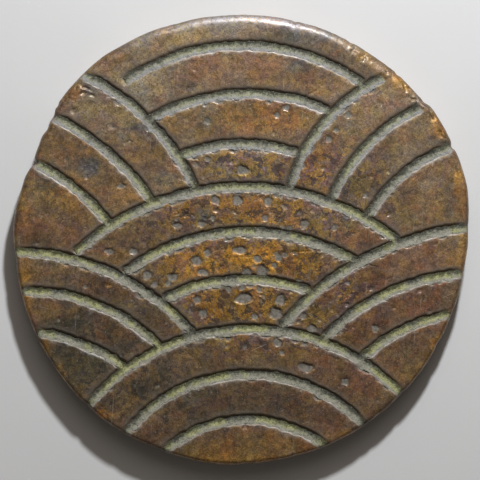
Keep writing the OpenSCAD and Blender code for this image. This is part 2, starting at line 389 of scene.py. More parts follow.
def dents(x, y):
    """Depth of the dents and scratches at each point"""
    depth = np.zeros_like(x)
    for cx, cy, half_length, half_width, turn, deep in DENTS + SCRATCHES:
        near = (np.abs(x - cx) < 3 * half_length) & (np.abs(y - cy) < 3 * half_length)
        dx, dy = x[near] - cx, y[near] - cy
        c, s = np.cos(np.radians(turn)), np.sin(np.radians(turn))
        u = dx + half_width * noise(x[near], y[near], 0.25, 91)
        v = dy + half_width * noise(x[near], y[near], 0.25, 92)
        share = blob(u * c + v * s, v * c - u * s, 0, 0, half_length, half_width)
        depth[near] += deep * share
    return depth


# ---- The disc's surface

# How far the face's rounded rim reaches in, at the top and elsewhere, and how far down
TOP_RIM_WIDTH = 0.7
RIM_WIDTH = 0.34
RIM_DROP = 0.5
# The worn face lies this far below the full thickness, on average
WEAR = 0.02
# Radius of the rounding at the underside, and how far the edge bulges at mid-height
BACK_ROUND = 0.5
BULGE = 0.03
# The cuts fade out down the edge: how far below the face they end, and over how much
CUT_END = 0.85
CUT_FADE = 0.8


def rim_width(degrees):
    """How far the rounding reaches in: most at the top, where the rim is most worn"""
    share = smooth((np.sin(np.radians(degrees)) - 0.3) / 0.6)
    width = RIM_WIDTH + (TOP_RIM_WIDTH - RIM_WIDTH) * share
    return width * (1 + 0.3 * around_rim(degrees, 3.5, 21))


def face_height(x, y):
    """Height of the uncut upper face: gently uneven, rounded down at the rim"""
    degrees = np.degrees(np.arctan2(y, x))
    inset = worn_radius(degrees) - np.hypot(x, y)
    share = np.clip(1 - inset / rim_width(degrees), 0, 1)
    level = THICK - WEAR + 0.014 * noise(x, y, 4.2, 31) + 0.008 * noise(x, y, 1.4, 32)
    # The rim is hammered and chipped, most of all at the upper right
    chipped = 0.3 + smooth(1 - np.abs(degrees - 42) / 30)
    knocks = 0.015 * chipped * smooth(share / 0.4) * rough(x, y, 0.9, 33)
    knocks = knocks + 0.012 * smooth(share / 0.3) * rough(x, y, 0.55, 34)
    return level - RIM_DROP * (1 - np.sqrt(1 - share ** 2.2)) + np.minimum(knocks, WEAR)


# How far apart the rings of points lie on the upper face and on the underside
FACE_STEP = 0.072
BACK_STEP = 0.32
# Points in a full ring
FULL_TURN = 1280


def ring_layout():
    """Rings from the middle of the upper face round the rim to the middle of the
    underside, as (kind, place). On the faces place is a share of the radius."""
    top = np.arange(0.12, FACE_RADIUS, FACE_STEP) / FACE_RADIUS
    back = np.arange(13.6, 0.6, -BACK_STEP) / FACE_RADIUS
    return (
        [("top", s) for s in np.append(top, 1.0)]
        + [("rim", s) for s in np.linspace(0, 1, 24)[1:]]
        + [("wall", s) for s in np.linspace(0, 1, 14)[1:]]
        + [("under_rim", s) for s in np.linspace(0, 1, 9)[1:]]
        + [("back", s) for s in back]
    )


def ring_count(kind, place):
    """How many points a ring has: fewer towards the middle and on the underside"""
    if kind in ("rim", "wall"):
        return FULL_TURN
    if kind == "under_rim":
        return FULL_TURN if place < 0.5 else FULL_TURN // 2
    count = FULL_TURN if kind == "top" else FULL_TURN // 4
    while place < 0.5 and count > 20:
        place, count = place * 2, count // 2
    return count


def ring_points(kind, place, count):
    """x, y, z of one ring"""
    degrees = np.arange(count) * 360 / count
    radius, width = worn_radius(degrees), rim_width(degrees)
    c, s = np.cos(np.radians(degrees)), np.sin(np.radians(degrees))
    if kind in ("top", "rim"):
        inset = width if kind == "top" else width * (1 - np.sin(place * np.pi / 2))
        r = (radius - inset) * (place if kind == "top" else 1)
        return r * c, r * s, face_height(r * c, r * s)
    wobble = 0.02 * noise(radius * c + 3 * place, radius * s - 3 * place, 1.1, 41)
    if kind == "wall":
        z_top = THICK - RIM_DROP - WEAR
        r = radius + (BULGE + wobble) * np.sin(np.pi * place)
        z = z_top + (BACK_ROUND - z_top) * place + 0 * r
        return r * c, r * s, z
    if kind == "under_rim":
        turn = place * np.pi / 2
        r = radius - BACK_ROUND * (1 - np.cos(turn)) + wobble * (1 - place) * place
        z = BACK_ROUND * (1 - np.sin(turn)) + 0 * r
        return r * c, r * s, z
    r = (radius - BACK_ROUND) * place
    dip = 0.012 + 0.012 * noise(r * c, r * s, 3.1, 51)
    return r * c, r * s, np.maximum(dip, 0) * smooth((1 - place) / 0.08)


def stitch(start_a, count_a, start_b, count_b):
    """Faces between two rings, whose counts are equal or one twice the other"""
    if count_a == count_b:
        i = np.arange(count_a)
        j = (i + 1) % count_a
        quads = np.column_stack([start_a + i, start_b + i, start_b + j, start_a + j])
        return np.vstack([quads[:, [0, 1, 2]], quads[:, [0, 2, 3]]])
    if count_b == 2 * count_a:
        i = np.arange(count_a)
        j = (i + 1) % count_a
        mid, last = 2 * i + 1, (2 * i + 2) % count_b
        return np.vstack([
            np.column_stack([start_a + i, start_b + 2 * i, start_b + mid]),
            np.column_stack([start_a + i, start_b + mid, start_a + j]),
            np.column_stack([start_a + j, start_b + mid, start_b + last]),
        ])
    return stitch(start_b, count_b, start_a, count_a)[:, ::-1]


def disc_mesh():
    """x, y, z of the disc's points before the grooves are cut, and its triangles"""
    rings = ring_layout()
    counts = [ring_count(*ring) for ring in rings]
    starts = np.cumsum([0] + counts)
    x, y, z = np.hstack([
        np.vstack(ring_points(*ring, count)) for ring, count in zip(rings, counts)
    ])
    top_hub, back_hub = len(x), len(x) + 1
    x, y = np.append(x, [0, 0]), np.append(y, [0, 0])
    z = np.append(z, [z[0], z[-1]])
    faces = [
        stitch(starts[n], counts[n], starts[n + 1], counts[n + 1])
        for n in range(len(rings) - 1)
    ]
    i = np.arange(counts[0])
    faces.append(np.column_stack([0 * i + top_hub, i, (i + 1) % counts[0]]))
    i = np.arange(counts[-1])
    last = starts[-2]
    after = last + (i + 1) % counts[-1]
    faces.append(np.column_stack([after, last + i, 0 * i + back_hub]))
    return x, y, z, np.vstack(faces)


def carve(x, y, z):
    """The height of each point after the grooves, bites, pits and dents are cut"""
    upper = z > THICK / 2
    px, py = x[upper], y[upper]
    depth, _, _, _, bites = groove_field(px, py)
    pits, _ = pit_field(px, py)
    reach = np.clip((z[upper] - (THICK - CUT_END)) / CUT_FADE, 0, 1)
    texture = 0.005 * rough(px, py, 0.5, 61) * (0.3 + 1.2 * pitted_share(px, py))
    cut = np.maximum(np.maximum(depth, pits), bites) + texture + dents(px, py)
    out = z.copy()
    out[upper] = z[upper] - reach * cut
    return out


def placed(name, data):
    """A new object in the scene"""
    obj = bpy.data.objects.new(name, data)
    bpy.context.collection.objects.link(obj)
    return obj


def new_object(name, points, faces, smooth_shading=True):
    """A mesh object from numpy arrays"""
    mesh = bpy.data.meshes.new(name)
    mesh.vertices.add(len(points))
    mesh.vertices.foreach_set("co", points.astype(np.float32).ravel())
    size = faces.shape[1]
    mesh.loops.add(faces.size)
    mesh.loops.foreach_set("vertex_index", faces.astype(np.int32).ravel())
    mesh.polygons.add(len(faces))
    starts = np.arange(0, faces.size, size, dtype=np.int32)
    mesh.polygons.foreach_set("loop_start", starts)
    mesh.polygons.foreach_set("use_smooth", np.full(len(faces), smooth_shading))
    mesh.update(calc_edges=True)
    mesh.validate()
    return placed(name, mesh)


# About how many triangles the disc is brought down to
DISC_TRIANGLES = 190000


def thinned(obj, triangles):
    """The object's mesh brought down to about that many triangles, fewest where flat"""
    thin = obj.modifiers.new("thin", "DECIMATE")
    thin.ratio = triangles / len(obj.data.polygons)
    graph = bpy.context.evaluated_depsgraph_get()
    dense = obj.data
    obj.data = bpy.data.meshes.new_from_object(obj.evaluated_get(graph))
    obj.modifiers.clear()
    bpy.data.meshes.remove(dense)
    return obj


# ---- Patina and dirt

# Patina colours, as seen on a screen
PATINA = {
    "brown": (130, 108, 86), "taupe": (146, 137, 126), "ochre": (164, 125, 64),
    "russet": (128, 92, 78), "umber": (98, 84, 72), "olive": (68, 70, 58),
    "slate": (98, 100, 102), "gold": (166, 128, 72),
}

# Patches of patina on the face: colour, x, y, half width, half height, strength
PATCHES = [
    ("taupe", -1, 13.4, 8, 1.3, 0.65), ("russet", 1, 12.2, 4, 1.8, 0.35),
    # The gold patch at (-4.6, 13.1) is a painted highlight: the rim's orange sheen at the
    # top left
    ("taupe", -5, 10.6, 3, 1.4, 0.45), ("gold", -4.6, 13.1, 2, 0.5, 0.25),
    ("taupe", -8.5, 9, 3.2, 2.4, 0.55), ("taupe", 9, 7.5, 4, 3.4, 0.25),
    ("taupe", 12.6, 4.2, 2.4, 2.2, 0.1), ("taupe", 0, 4.9, 2.6, 1, 0.3),
    ("ochre", -12, 3, 1.8, 1.5, 0.55), ("ochre", 0, 1.8, 5, 1.2, 0.4),
    ("ochre", 0.2, -1.6, 5.2, 1.5, 0.8), ("ochre", 0.3, -4.4, 3.6, 1.3, 0.6),
    ("umber", 0.5, -7.6, 3, 0.9, 0.25), ("ochre", 1, -13.8, 5, 1, 0.5),
    ("ochre", -10, 6, 1.4, 1, 0.3), ("ochre", 1.5, 8.1, 3.5, 0.9, 0.5),
    ("umber", 6.4, -3.6, 2.4, 1.6, 0.45), ("ochre", -7.5, 3, 1.4, 1, 0.35),
    ("russet", 5.4, 4.4, 2.4, 2, 0.35), ("ochre", 12.2, -9, 1.8, 1.2, 0.45),
    ("russet", 9.5, -2, 5, 2.6, 0.4), ("russet", 10, -5, 4, 2, 0.6),
    ("russet", 6.5, -9, 3, 2, 0.5), ("russet", 5, -12, 3, 1.5, 0.4),
    ("russet", 3.4, 9.2, 2, 0.7, 0.5), ("russet", -12, 0.4, 2, 1, 0.6),
    ("umber", -5, -6, 2, 2, 0.5), ("russet", -9, -3.1, 2.5, 1, 0.4),
    ("umber", -9.3, -3, 4.6, 1.3, 0.3), ("umber", -9, -6, 4, 2, 0.7),
    ("umber", -6, -9.3, 4, 2.6, 0.25), ("umber", -3, -11.5, 4, 2, 0.5),
    ("umber", 1, -10.6, 4, 1.3, 0.6), ("umber", -7, -0.4, 2.4, 1.2, 0.35),
    ("umber", 10, -10, 2.4, 1.6, 0.3),
]
# Smaller spots over them, by colour: x, y, half width, half height, strength
SPOTS = {
    "olive": [
        (-10.8, -8.4, 2.2, 1.6, 0.6), (-11.6, -5.8, 1.5, 0.6, 0.7),
        (-12.9, 3.6, 0.8, 0.5, 0.6), (2.9, 13.4, 1.3, 0.6, 0.6),
        (-6.2, -10.2, 1, 1.4, 0.35), (-13.3, -0.2, 0.9, 1.1, 0.45),
        (5, 13, 1.6, 0.9, 0.35), (-2.6, -9.2, 1, 1.4, 0.25),
        (-11.4, -3.6, 0.9, 0.6, 0.6), (-12.3, -1.3, 0.5, 0.7, 0.5),
    ],
    "slate": [
        (-10.1, 4.8, 0.9, 0.8, 0.8), (-3.5, 10.1, 0.55, 0.4, 0.6),
        (3.9, 11.4, 1, 0.5, 0.7), (-2.2, 7.7, 0.4, 0.4, 0.6),
        (-7.6, 6.6, 0.45, 0.3, 0.5), (4.2, 13.4, 1.8, 0.6, 0.4),
        (7.6, 3.5, 1.1, 0.8, 0.45), (-3, -10.3, 1.2, 0.7, 0.4),
        (-2.7, 1.6, 0.7, 0.5, 0.7), (-5.3, -4.4, 0.5, 0.4, 0.6),
        (7.0, 1.2, 0.7, 0.5, 0.5), (12.9, 6.4, 0.6, 0.4, 0.6),
        (-13.1, 4.3, 0.7, 0.6, 0.5), (-6.7, 7.4, 0.8, 0.3, 0.6),
        (-8, 7, 0.35, 0.35, 0.5), (-5, 3.9, 0.8, 0.5, 0.5),
    ],
    "gold": [
        (8.3, 12.2, 0.9, 0.4, 0.5), (10.7, 10.4, 0.9, 0.7, 0.8),
        (13.1, 7.6, 0.5, 1.1, 0.7), (14.5, 3.4, 0.4, 1.8, 0.7),
        (14.6, -1, 0.3, 1.8, 0.5), (-14.3, -3.5, 0.5, 2.6, 0.9),
        (-13, -7.2, 0.4, 0.8, 0.9), (-12, -9, 0.4, 0.9, 0.6),
        (-9.2, -11.6, 0.9, 0.4, 0.8), (-1.5, -14.6, 4.5, 0.5, 0.9),
        (12.9, -7.2, 0.4, 1, 0.7), (6.9, -13, 0.8, 0.4, 0.5),
        (-11.4, 9.7, 0.9, 0.6, 0.6), (-8.75, -3.05, 0.25, 0.15, 0.9),
        (-4.9, 13.9, 0.9, 0.3, 0.4), (-14.4, 2.4, 0.3, 1.2, 0.5),
    ],
}


# Linear colours of what lies on the metal, and of metal that is worn or scratched bare;
# the rim's is a painted highlight, the grooves' dark staining is partly painted shade,
# and the bare lips' is partly a painted glint
WORN = {
    "soot": (0.052, 0.05, 0.04), "vein": (0.05, 0.032, 0.022),
    "speck": (0.045, 0.03, 0.02), "pale_speck": (0.5, 0.45, 0.36),
    # The rim's colour on this line is a painted highlight
    "scratch": (0.6, 0.52, 0.4), "polish_and_highlight": (0.44, 0.43, 0.47),
    # On this line the stain's colour is dark staining and partly painted shade, and the
    # lip's is partly a painted glint
    "grime": (0.09, 0.07, 0.05), "stain_and_shade": (0.15, 0.122, 0.095), "lip": (0.5, 0.475, 0.44),
    "wall": (0.32, 0.305, 0.27), "pale_wall": (0.42, 0.405, 0.37),
    "dust": (0.13, 0.13, 0.1), "pale_dust": (0.25, 0.25, 0.18),
    "filling": (0.14, 0.125, 0.1), "pale_filling": (0.25, 0.23, 0.195),
}
# Linear colours of the deposit in the grooves; the upper fans' is cooler
DIRT = {
    "green": (0.29, 0.285, 0.22), "yellow": (0.42, 0.42, 0.2),
    "upper_yellow": (0.35, 0.35, 0.235), "grey": (0.35, 0.335, 0.275),
    "upper_grey": (0.335, 0.33, 0.325), "pale_grain": (0.42, 0.42, 0.27),
    "dark_grain": (0.08, 0.075, 0.055), "clump": (0.13, 0.125, 0.09),
}


def linear(rgb):
    """A screen colour from 0 to 255 as linear light"""
    c = np.array(rgb) / 255
    return np.where(c <= 0.04045, c / 12.92, ((c + 0.055) / 1.055) ** 2.4)


# Where greenish-black soot lies in blotches: x, y, half width, half height, strength
SOOTY = [
    (-10, -8, 4.5, 4, 0.85), (-5, -10.5, 4.5, 3, 0.6), (-11, -2.5, 3.5, 2.5, 0.4),
    (-12.5, 3.6, 2, 1.6, 0.6), (2.8, -10.5, 4, 2, 0.6), (3.5, 12.5, 4, 1.5, 0.5),
    (9.5, -6, 4, 3, 0.35), (-9, 6.5, 3.5, 3, 0.35), (8.5, 3, 3, 2, 0.45),
]


def patina_colour(x, y, z):
    """Linear colour of the metal's patina at each point, and how sooty it is"""
    upper = z > THICK / 2
    colour = np.tile(linear(PATINA["brown"]), (len(x), 1))
    spots = [(name, *spot) for name, alike in SPOTS.items() for spot in alike]
    for name, cx, cy, half_width, half_height, strength in PATCHES + spots:
        edge = 0.35 * noise(x, y, 0.9, 71) + 0.25 * noise(x, y, 0.35, 72)
        share = blob(x, y, cx, cy, half_width, half_height)
        share = strength * smooth((share + edge * share * 1.2 - 0.12) / 0.6) * upper
        colour += share[:, None] * (linear(PATINA[name]) - colour)
    # Broad soft clouds, lighter and darker, warmer and cooler; darkest at the bottom
    light = 1.06 + 0.3 * rough(x, y, 2.6, 77) + 0.12 * rough(x, y, 0.8, 78)
    light += 0.01 * np.clip(y, -11, 0)
    warm = 0.1 * rough(x, y, 1.9, 79)
    tint = np.column_stack([light * (0.98 + warm), light, light * (0.97 - warm)])
    colour = colour * tint
    soot = sum(s * blob(x, y, cx, cy, hw, hh) for cx, cy, hw, hh, s in SOOTY)
    return np.column_stack([colour, np.clip(soot, 0.1, 1) * upper])


def marks(x, y, z):
    """Two sets of four masks from 0 to 1: dust, worn lip with a painted glint, filled pit
    and pitted; and dark staining with painted shade, grey groove wall, painted highlight
    along the top of the rim, and rim or edge"""
    upper = z > THICK / 2
    depth, across, _, strength, bites = groove_field(x, y)
    _, filling = pit_field(x, y)
    inset = inset_of(x, y)
    patchy = 0.7 + 0.6 * noise(x, y, 1.1, 73) + 0.5 * noise(x, y, 0.3, 74)
    strength = np.clip(strength * 1.6, 0, 1)
    outside = 0.75 * np.exp(-np.abs(across - 1.05) / 0.45) * (across > 1.05)
    inside = 0.4 * np.exp(-np.abs(across + 1.1) / 0.3) * (across < -1.1)
    floor = smooth((depth - 0.1) / 0.12)
    dust = np.maximum(floor, (outside + inside) * patchy)
    beyond = np.where(across < -1.05, 0.3, 0.16)
    # The inner lip is painted pale in broken patches: bare metal, and partly a painted
    # glint on the lip that faces the lamp
    bright = 0.45 + 1.2 * noise(x, y, 2.3, 75) + 0.8 * noise(x, y, 0.45, 76)
    lip = np.exp(-(((across + 1.02) / beyond) ** 2)) * np.clip(bright, 0, 1)
    # Dark staining along each groove's outer wall, the side turned from the lamp: partly
    # painted shade
    stain_and_shade = np.exp(-(((across - 0.95) / 0.5) ** 2)) * np.clip(patchy + 0.2, 0.4, 1)
    wall = smooth((across + 1.2) / 0.25) * smooth((0.4 - across) / 0.5)
    # Painted highlight: a pale band along the rim at the top only, where the lamp's light
    # glances off it
    rim = np.exp(-(((inset - 0.3) / 0.35) ** 2)) * blob(x, y, 0.8, 14.6, 6.5, 2.2)
    edge = smooth((0.22 - inset) / 0.25)
    filling = np.maximum(filling, smooth(bites / 0.05) * 0.8)
    first = np.column_stack([dust, lip * strength, filling, pitted_share(x, y)])
    second = np.column_stack([stain_and_shade * strength, wall * strength, rim, edge])
    first, second = first * upper[:, None], second * upper[:, None]
    second[:, 3] = np.where(upper, second[:, 3], 1)
    return first, second


def paint(obj, name, values):
    """Stores a colour, or four masks, on each of the object's points"""
    if values.shape[1] == 3:
        values = np.column_stack([values, np.ones(len(values))])
    layer = obj.data.attributes.new(name, "FLOAT_COLOR", "POINT")
    layer.data.foreach_set("color", np.clip(values, 0, 1).astype(np.float32).ravel())


def points_of(obj):
    """The object's points in the pattern's millimetres"""
    flat = np.empty(len(obj.data.vertices) * 3, dtype=np.float32)
    obj.data.vertices.foreach_get("co", flat)
    x, y, z = flat.reshape(-1, 3).astype(float).T
    centre = (disc_low + disc_high) / 2
    return (
        (x - centre.x) / MM + MIDDLE_X,
        (y - centre.y) / MM + MIDDLE_Y,
        (z - disc_low.z) / MM,
    )


# ---- Node helpers


class Nodes:
    """A material's node tree, with short calls for the nodes that it needs"""

    def __init__(self, name):
        self.material = bpy.data.materials.new(name)
        self.material.use_nodes = True
        self.tree = self.material.node_tree
        self.tree.nodes.clear()
        self.shader = self.add("ShaderNodeBsdfPrincipled")
        self.add("ShaderNodeOutputMaterial", {"Surface": self.shader.outputs["BSDF"]})
        place = self.add("ShaderNodeTexCoord").outputs["Object"]
        inputs = {0: place, "Scale": 1 / MM}
        scaled = self.add("ShaderNodeVectorMath", inputs, operation="SCALE")
        self.place = scaled.outputs[0]

    def add(self, kind, inputs=None, **settings):
        """A node with these settings, and these inputs linked or set"""
        node = self.tree.nodes.new(kind)
        for key, value in settings.items():
            setattr(node, key, value)
        for key, value in (inputs or {}).items():
            self.put(node.inputs[key], value)
        return node

    def put(self, socket, value):
        """Links a socket, or sets a plain value"""
        if isinstance(value, bpy.types.NodeSocket):
            self.tree.links.new(value, socket)
        else:
            socket.default_value = value

    def shade(self, name, value):
        """Sets or links one of the shader's values"""
        self.put(self.shader.inputs[name], value)

    def noise(self, size, detail=2.0, roughness=0.55, bend=0.0, stretch=None, turn=0):
        """Noise with features of that size in mm, from 0 to 1"""
        place = self.place
        if stretch:
            turned = (0, 0, np.radians(turn))
            inputs = {"Vector": place, "Rotation": turned, "Scale": stretch}
            mapping = self.add("ShaderNodeMapping", inputs, vector_type="TEXTURE")
            place = mapping.outputs[0]
        inputs = {"Vector": place, "Scale": 1 / size, "Detail": detail,
                  "Roughness": roughness, "Distortion": bend}
        return self.add("ShaderNodeTexNoise", inputs).outputs["Fac"]

    def math(self, kind, a, b=0.0, clamp=False):
        node = self.add("ShaderNodeMath", {0: a, 1: b}, operation=kind, use_clamp=clamp)
        return node.outputs[0]

    def times(self, a, b, clamp=False):
        return self.math("MULTIPLY", a, b, clamp)

    def between(self, value, low, high, to_low=0.0, to_high=1.0):
        """Maps low..high smoothly to to_low..to_high"""
        inputs = {"Value": value, "From Min": low, "From Max": high,
                  "To Min": to_low, "To Max": to_high}
        node = self.add("ShaderNodeMapRange", inputs, interpolation_type="SMOOTHSTEP")
        return node.outputs[0]

    def mix(self, share, a, b, blend="MIX"):
        """Mixes two colours, each a socket or a linear (r, g, b)"""
        a, b = [(*v, 1.0) if isinstance(v, tuple) else v for v in (a, b)]
        inputs = {0: share, 6: a, 7: b}
        node = self.add("ShaderNodeMix", inputs, data_type="RGBA", blend_type=blend)
        return node.outputs[2]

    def mix_numbers(self, share, a, b):
        """Mixes two numbers, each a socket or a plain value"""
        inputs = {0: share, 2: a, 3: b}
        return self.add("ShaderNodeMix", inputs, data_type="FLOAT").outputs[0]

    def attribute(self, name):
        return self.add("ShaderNodeAttribute", attribute_name=name)

    def bump(self, height, distance, normal=None):
        """Relief of that height in mm, on top of the relief that is given"""
        inputs = {"Strength": 1.0, "Distance": distance * MM, "Height": height}
        if normal:
            inputs["Normal"] = normal
        return self.add("ShaderNodeBump", inputs).outputs[0]


def masks(n, name):
    """The four masks that are stored under that name"""
    found = n.attribute(name)
    split = n.add("ShaderNodeSeparateColor", {0: found.outputs["Color"]})
    return (*split.outputs, found.outputs["Alpha"])


def blotches(n, pitted, grain, mottle):
    """The patina in ragged blotches of gold, rust, mauve, dark brown and soot, crispest
    where the face is pitted; and where the dark blotches are"""
    stored = n.attribute("patina")
    patina, sooty = stored.outputs["Color"], stored.outputs["Alpha"]
    gold = n.mix(1.0, patina, (1.3, 1.12, 0.5), "MULTIPLY")
    mauve = n.mix(1.0, patina, (0.8, 0.7, 0.95), "MULTIPLY")
    rust = n.mix(1.0, patina, (1.12, 0.8, 0.6), "MULTIPLY")
    dark = n.mix(1.0, patina, (0.42, 0.4, 0.5), "MULTIPLY")
    strong = n.between(pitted, 0, 0.8, 0.65, 1.0)
    crisp = n.between(pitted, 0, 0.8, 0.45, 1.0)

    def blotch(soft, sharp):
        """Share of one kind of blotch, soft outside the pitted places and sharp in them:
        the noise's size, roughness and bend, and where the blotch starts and is full"""
        shares = [n.between(n.noise(size, 6, roughness, bend), low, high)
                  for size, roughness, bend, low, high in (soft, sharp)]
        return n.times(n.mix_numbers(crisp, *shares), strong)

    gold_share = blotch((1.7, 0.6, 1.2, 0.46, 0.54), (1.05, 0.6, 0.4, 0.45, 0.475))
    colour = n.mix(gold_share, patina, gold)
    colour = n.mix(n.between(n.noise(1.9, 5, 0.6, 0.8), 0.5, 0.6, 0, 0.7), colour, rust)
    mauve_share = blotch((1.3, 0.6, 1.6, 0.52, 0.59), (0.9, 0.6, 0.4, 0.55, 0.575))
    colour = n.mix(mauve_share, colour, mauve)
    dark_share = blotch((1.0, 0.66, 1.8, 0.57, 0.63), (0.72, 0.62, 0.4, 0.545, 0.57))
    colour = n.mix(dark_share, colour, dark)
    soot_noise = n.between(n.noise(0.95, 6, 0.7, 1.2), 0.49, 0.57)
    soot_share = n.times(n.times(soot_noise, sooty), 0.85)
    colour = n.mix(soot_share, colour, WORN["soot"])
    shade = n.times(n.between(mottle, 0.28, 0.72, 0.7, 1.3),
                    n.between(grain, 0.28, 0.72, 0.74, 1.26))
    return n.mix(1.0, colour, shade, "MULTIPLY"), dark_share


def fine_marks(n, colour, pitted):
    """The colour with thin dark veins, dark and pale specks and hairline scratches; and
    where the scratches are"""
    vein = n.math("ABSOLUTE", n.math("SUBTRACT", n.noise(0.8, 5, 0.62, 0.3), 0.5))
    veins = n.between(vein, 0.013, 0.003)
    veins = n.times(veins, n.between(pitted, 0, 1, 0.6, 0.9))
    colour = n.mix(veins, colour, WORN["vein"])
    specks = n.between(n.noise(0.13, 2, 0.5, 0.5), 0.34, 0.27)
    specks = n.times(specks, n.between(pitted, 0, 1, 0.75, 0.9))
    colour = n.mix(specks, colour, WORN["speck"])
    pale = n.between(n.noise(0.11, 2, 0.5), 0.68, 0.74, 0, 0.65)
    colour = n.mix(pale, colour, WORN["pale_speck"])
    upright = n.between(n.noise(0.055, 2, 0.5, 0.05, (70, 1, 1), 86), 0.66, 0.74)
    slanted = n.between(n.noise(0.06, 2, 0.5, 0.05, (60, 1, 1), 24), 0.68, 0.75)
    scratched = n.math(
        "MAXIMUM",
        n.times(upright, n.between(n.noise(2.5, 2, 0.5), 0.45, 0.6)),
        n.times(slanted, n.between(n.noise(2.1, 2, 0.5), 0.5, 0.62)),
    )
    colour = n.mix(n.times(scratched, 0.45), colour, WORN["scratch"])
    return colour, scratched


def wear_and_dirt(n, colour, grain, mottle):
    """The colour with a painted highlight along the top of the rim, grime, dust, dark
    staining with painted shade on the grooves' outer walls, groove walls, bare lips with
    a painted glint and filled pits; how dull that leaves the metal, and where the lips
    are bare and painted bright"""
    dust, lip, filling, _ = masks(n, "marks")
    stain_and_shade, wall, rim, edge = masks(n, "stains_and_painted_light")
    ragged = n.noise(0.2, 4, 0.65, 0.6)
    # Painted highlight along the top of the rim
    rim_highlight_share = n.times(rim, n.between(ragged, 0.4, 0.56, 0.25, 1))
    colour = n.mix(n.times(rim_highlight_share, 0.85), colour, WORN["polish_and_highlight"])
    grimy = n.times(edge, n.between(n.noise(1.1, 5, 0.62, 0.8), 0.44, 0.6, 0, 0.6))
    colour = n.mix(grimy, colour, WORN["grime"])
    dust_colour = n.mix(n.between(grain, 0.35, 0.65), WORN["dust"], WORN["pale_dust"])
    dust_share = n.times(dust, n.between(ragged, 0.38, 0.58), True)
    dust_share = n.times(dust_share, 0.75)
    colour = n.mix(dust_share, colour, dust_colour)
    # Dark staining on the grooves' outer walls, partly painted shade
    stain_and_shade_share = n.times(stain_and_shade, n.between(ragged, 0.25, 0.55, 0.5, 0.9), True)
    colour = n.mix(stain_and_shade_share, colour, WORN["stain_and_shade"])
    wall_colour = n.mix(n.between(mottle, 0.35, 0.65), WORN["wall"], WORN["pale_wall"])
    wall_share = n.times(wall, n.between(ragged, 0.3, 0.5, 0.75, 1))
    colour = n.mix(wall_share, colour, wall_colour)
    # Bare lips, partly a painted glint
    lip_and_glint_share = n.times(lip, n.between(ragged, 0.35, 0.55, 0.35, 1), True)
    colour = n.mix(n.times(lip_and_glint_share, 0.85), colour, WORN["lip"])
    pale = n.between(ragged, 0.35, 0.65)
    pit_colour = n.mix(pale, WORN["filling"], WORN["pale_filling"])
    pit_share = n.times(filling, n.between(grain, 0.2, 0.5, 0.6, 1), True)
    colour = n.mix(pit_share, colour, pit_colour)
    dull = dust_share
    less = n.times(pit_share, 0.8), n.times(lip_and_glint_share, 0.5)
    for share in (*less, stain_and_shade_share, wall_share):
        dull = n.math("MAXIMUM", dull, share)
    return colour, dull, lip_and_glint_share


def copper():
    """Brown copper patina: mottled and veined, dusty beside the grooves, grey on their
    inner walls and bright along their inner lips, partly a painted glint; with painted
    shade on their outer walls and a painted highlight along the top of the rim"""
    n = Nodes("worn_copper")
    pitted = masks(n, "marks")[3]
    mottle = n.noise(0.3, 4, 0.65, 0.8)
    grain = n.noise(0.09, 3, 0.6)
    colour, dark_share = blotches(n, pitted, grain, mottle)
    colour, scratched = fine_marks(n, colour, pitted)
    colour, dull, lip_and_glint_share = wear_and_dirt(n, colour, grain, mottle)
    n.shade("Base Color", colour)
    n.shade("Metallic", n.between(dull, 0, 1, 0.55, 0.05))

    darker = n.times(dark_share, 0.08)
    gloss = n.math("ADD", n.between(mottle, 0.3, 0.7, 0.46, 0.6), darker)
    gloss = n.math("SUBTRACT", gloss, n.times(lip_and_glint_share, 0.06))
    gloss = n.math("ADD", gloss, n.times(dull, 0.35), True)
    n.shade("Roughness", gloss)
    polish_and_highlight = n.between(n.noise(0.6, 4, 0.6, 0.5), 0.42, 0.6, 0.12, 1)
    polish_and_highlight = n.times(polish_and_highlight, n.between(dull, 0, 0.6, 0.7, 0.0))
    n.shade("Coat Weight", polish_and_highlight)
    n.shade("Coat Roughness", 0.25)

    relief = None
    for height, distance in (
        (n.noise(0.34, 4, 0.6, 0.4), 0.011),
        (n.times(n.noise(0.22, 4, 0.62, 0.6), pitted), 0.03),
        (n.noise(0.8, 3, 0.6), 0.012),
        (n.times(dark_share, -1.0), 0.008),
        (n.times(scratched, -1.0), 0.004),
    ):
        relief = n.bump(height, distance, relief)
    n.shade("Normal", relief)
    return n.material


def deposit_dirt():
    """Hardened dirt: yellow-green along its middle, grey towards the inner lip, darker
    under the outer one, with pale and dark grains"""
    n = Nodes("grey_green_deposit")
    across, upper, _, _ = masks(n, "place")
    patchy = n.noise(2.1, 4, 0.5, 0.4)
    ragged = n.noise(0.22, 4, 0.68, 0.5)
    shifted = n.math("ADD", across, n.between(ragged, 0.25, 0.75, -0.2, 0.2))
    yellow = n.mix(upper, DIRT["yellow"], DIRT["upper_yellow"])
    green = n.mix(n.between(patchy, 0.44, 0.58), DIRT["green"], yellow)
    grey = n.mix(upper, DIRT["grey"], DIRT["upper_grey"])
    base = n.mix(n.between(shifted, 0.34, 0.1), green, grey)
    depth_shade = n.between(shifted, 0.26, 0.74, 1.0, 0.18)
    base = n.mix(1.0, base, depth_shade, "MULTIPLY")
    grains = n.noise(0.085, 2, 0.6)
    clumps = n.noise(0.3, 3, 0.6, 0.6)
    base = n.mix(n.between(grains, 0.6, 0.72, 0, 0.6), base, DIRT["pale_grain"])
    base = n.mix(n.between(grains, 0.42, 0.32, 0, 0.7), base, DIRT["dark_grain"])
    base = n.mix(n.between(clumps, 0.42, 0.3, 0, 0.6), base, DIRT["clump"])
    n.shade("Base Color", base)
    n.shade("Roughness", 0.85)
    n.shade("Specular IOR Level", 0.3)
    n.shade("Normal", n.bump(ragged, 0.05, n.bump(n.noise(0.11, 4, 0.7), 0.05)))
    return n.material


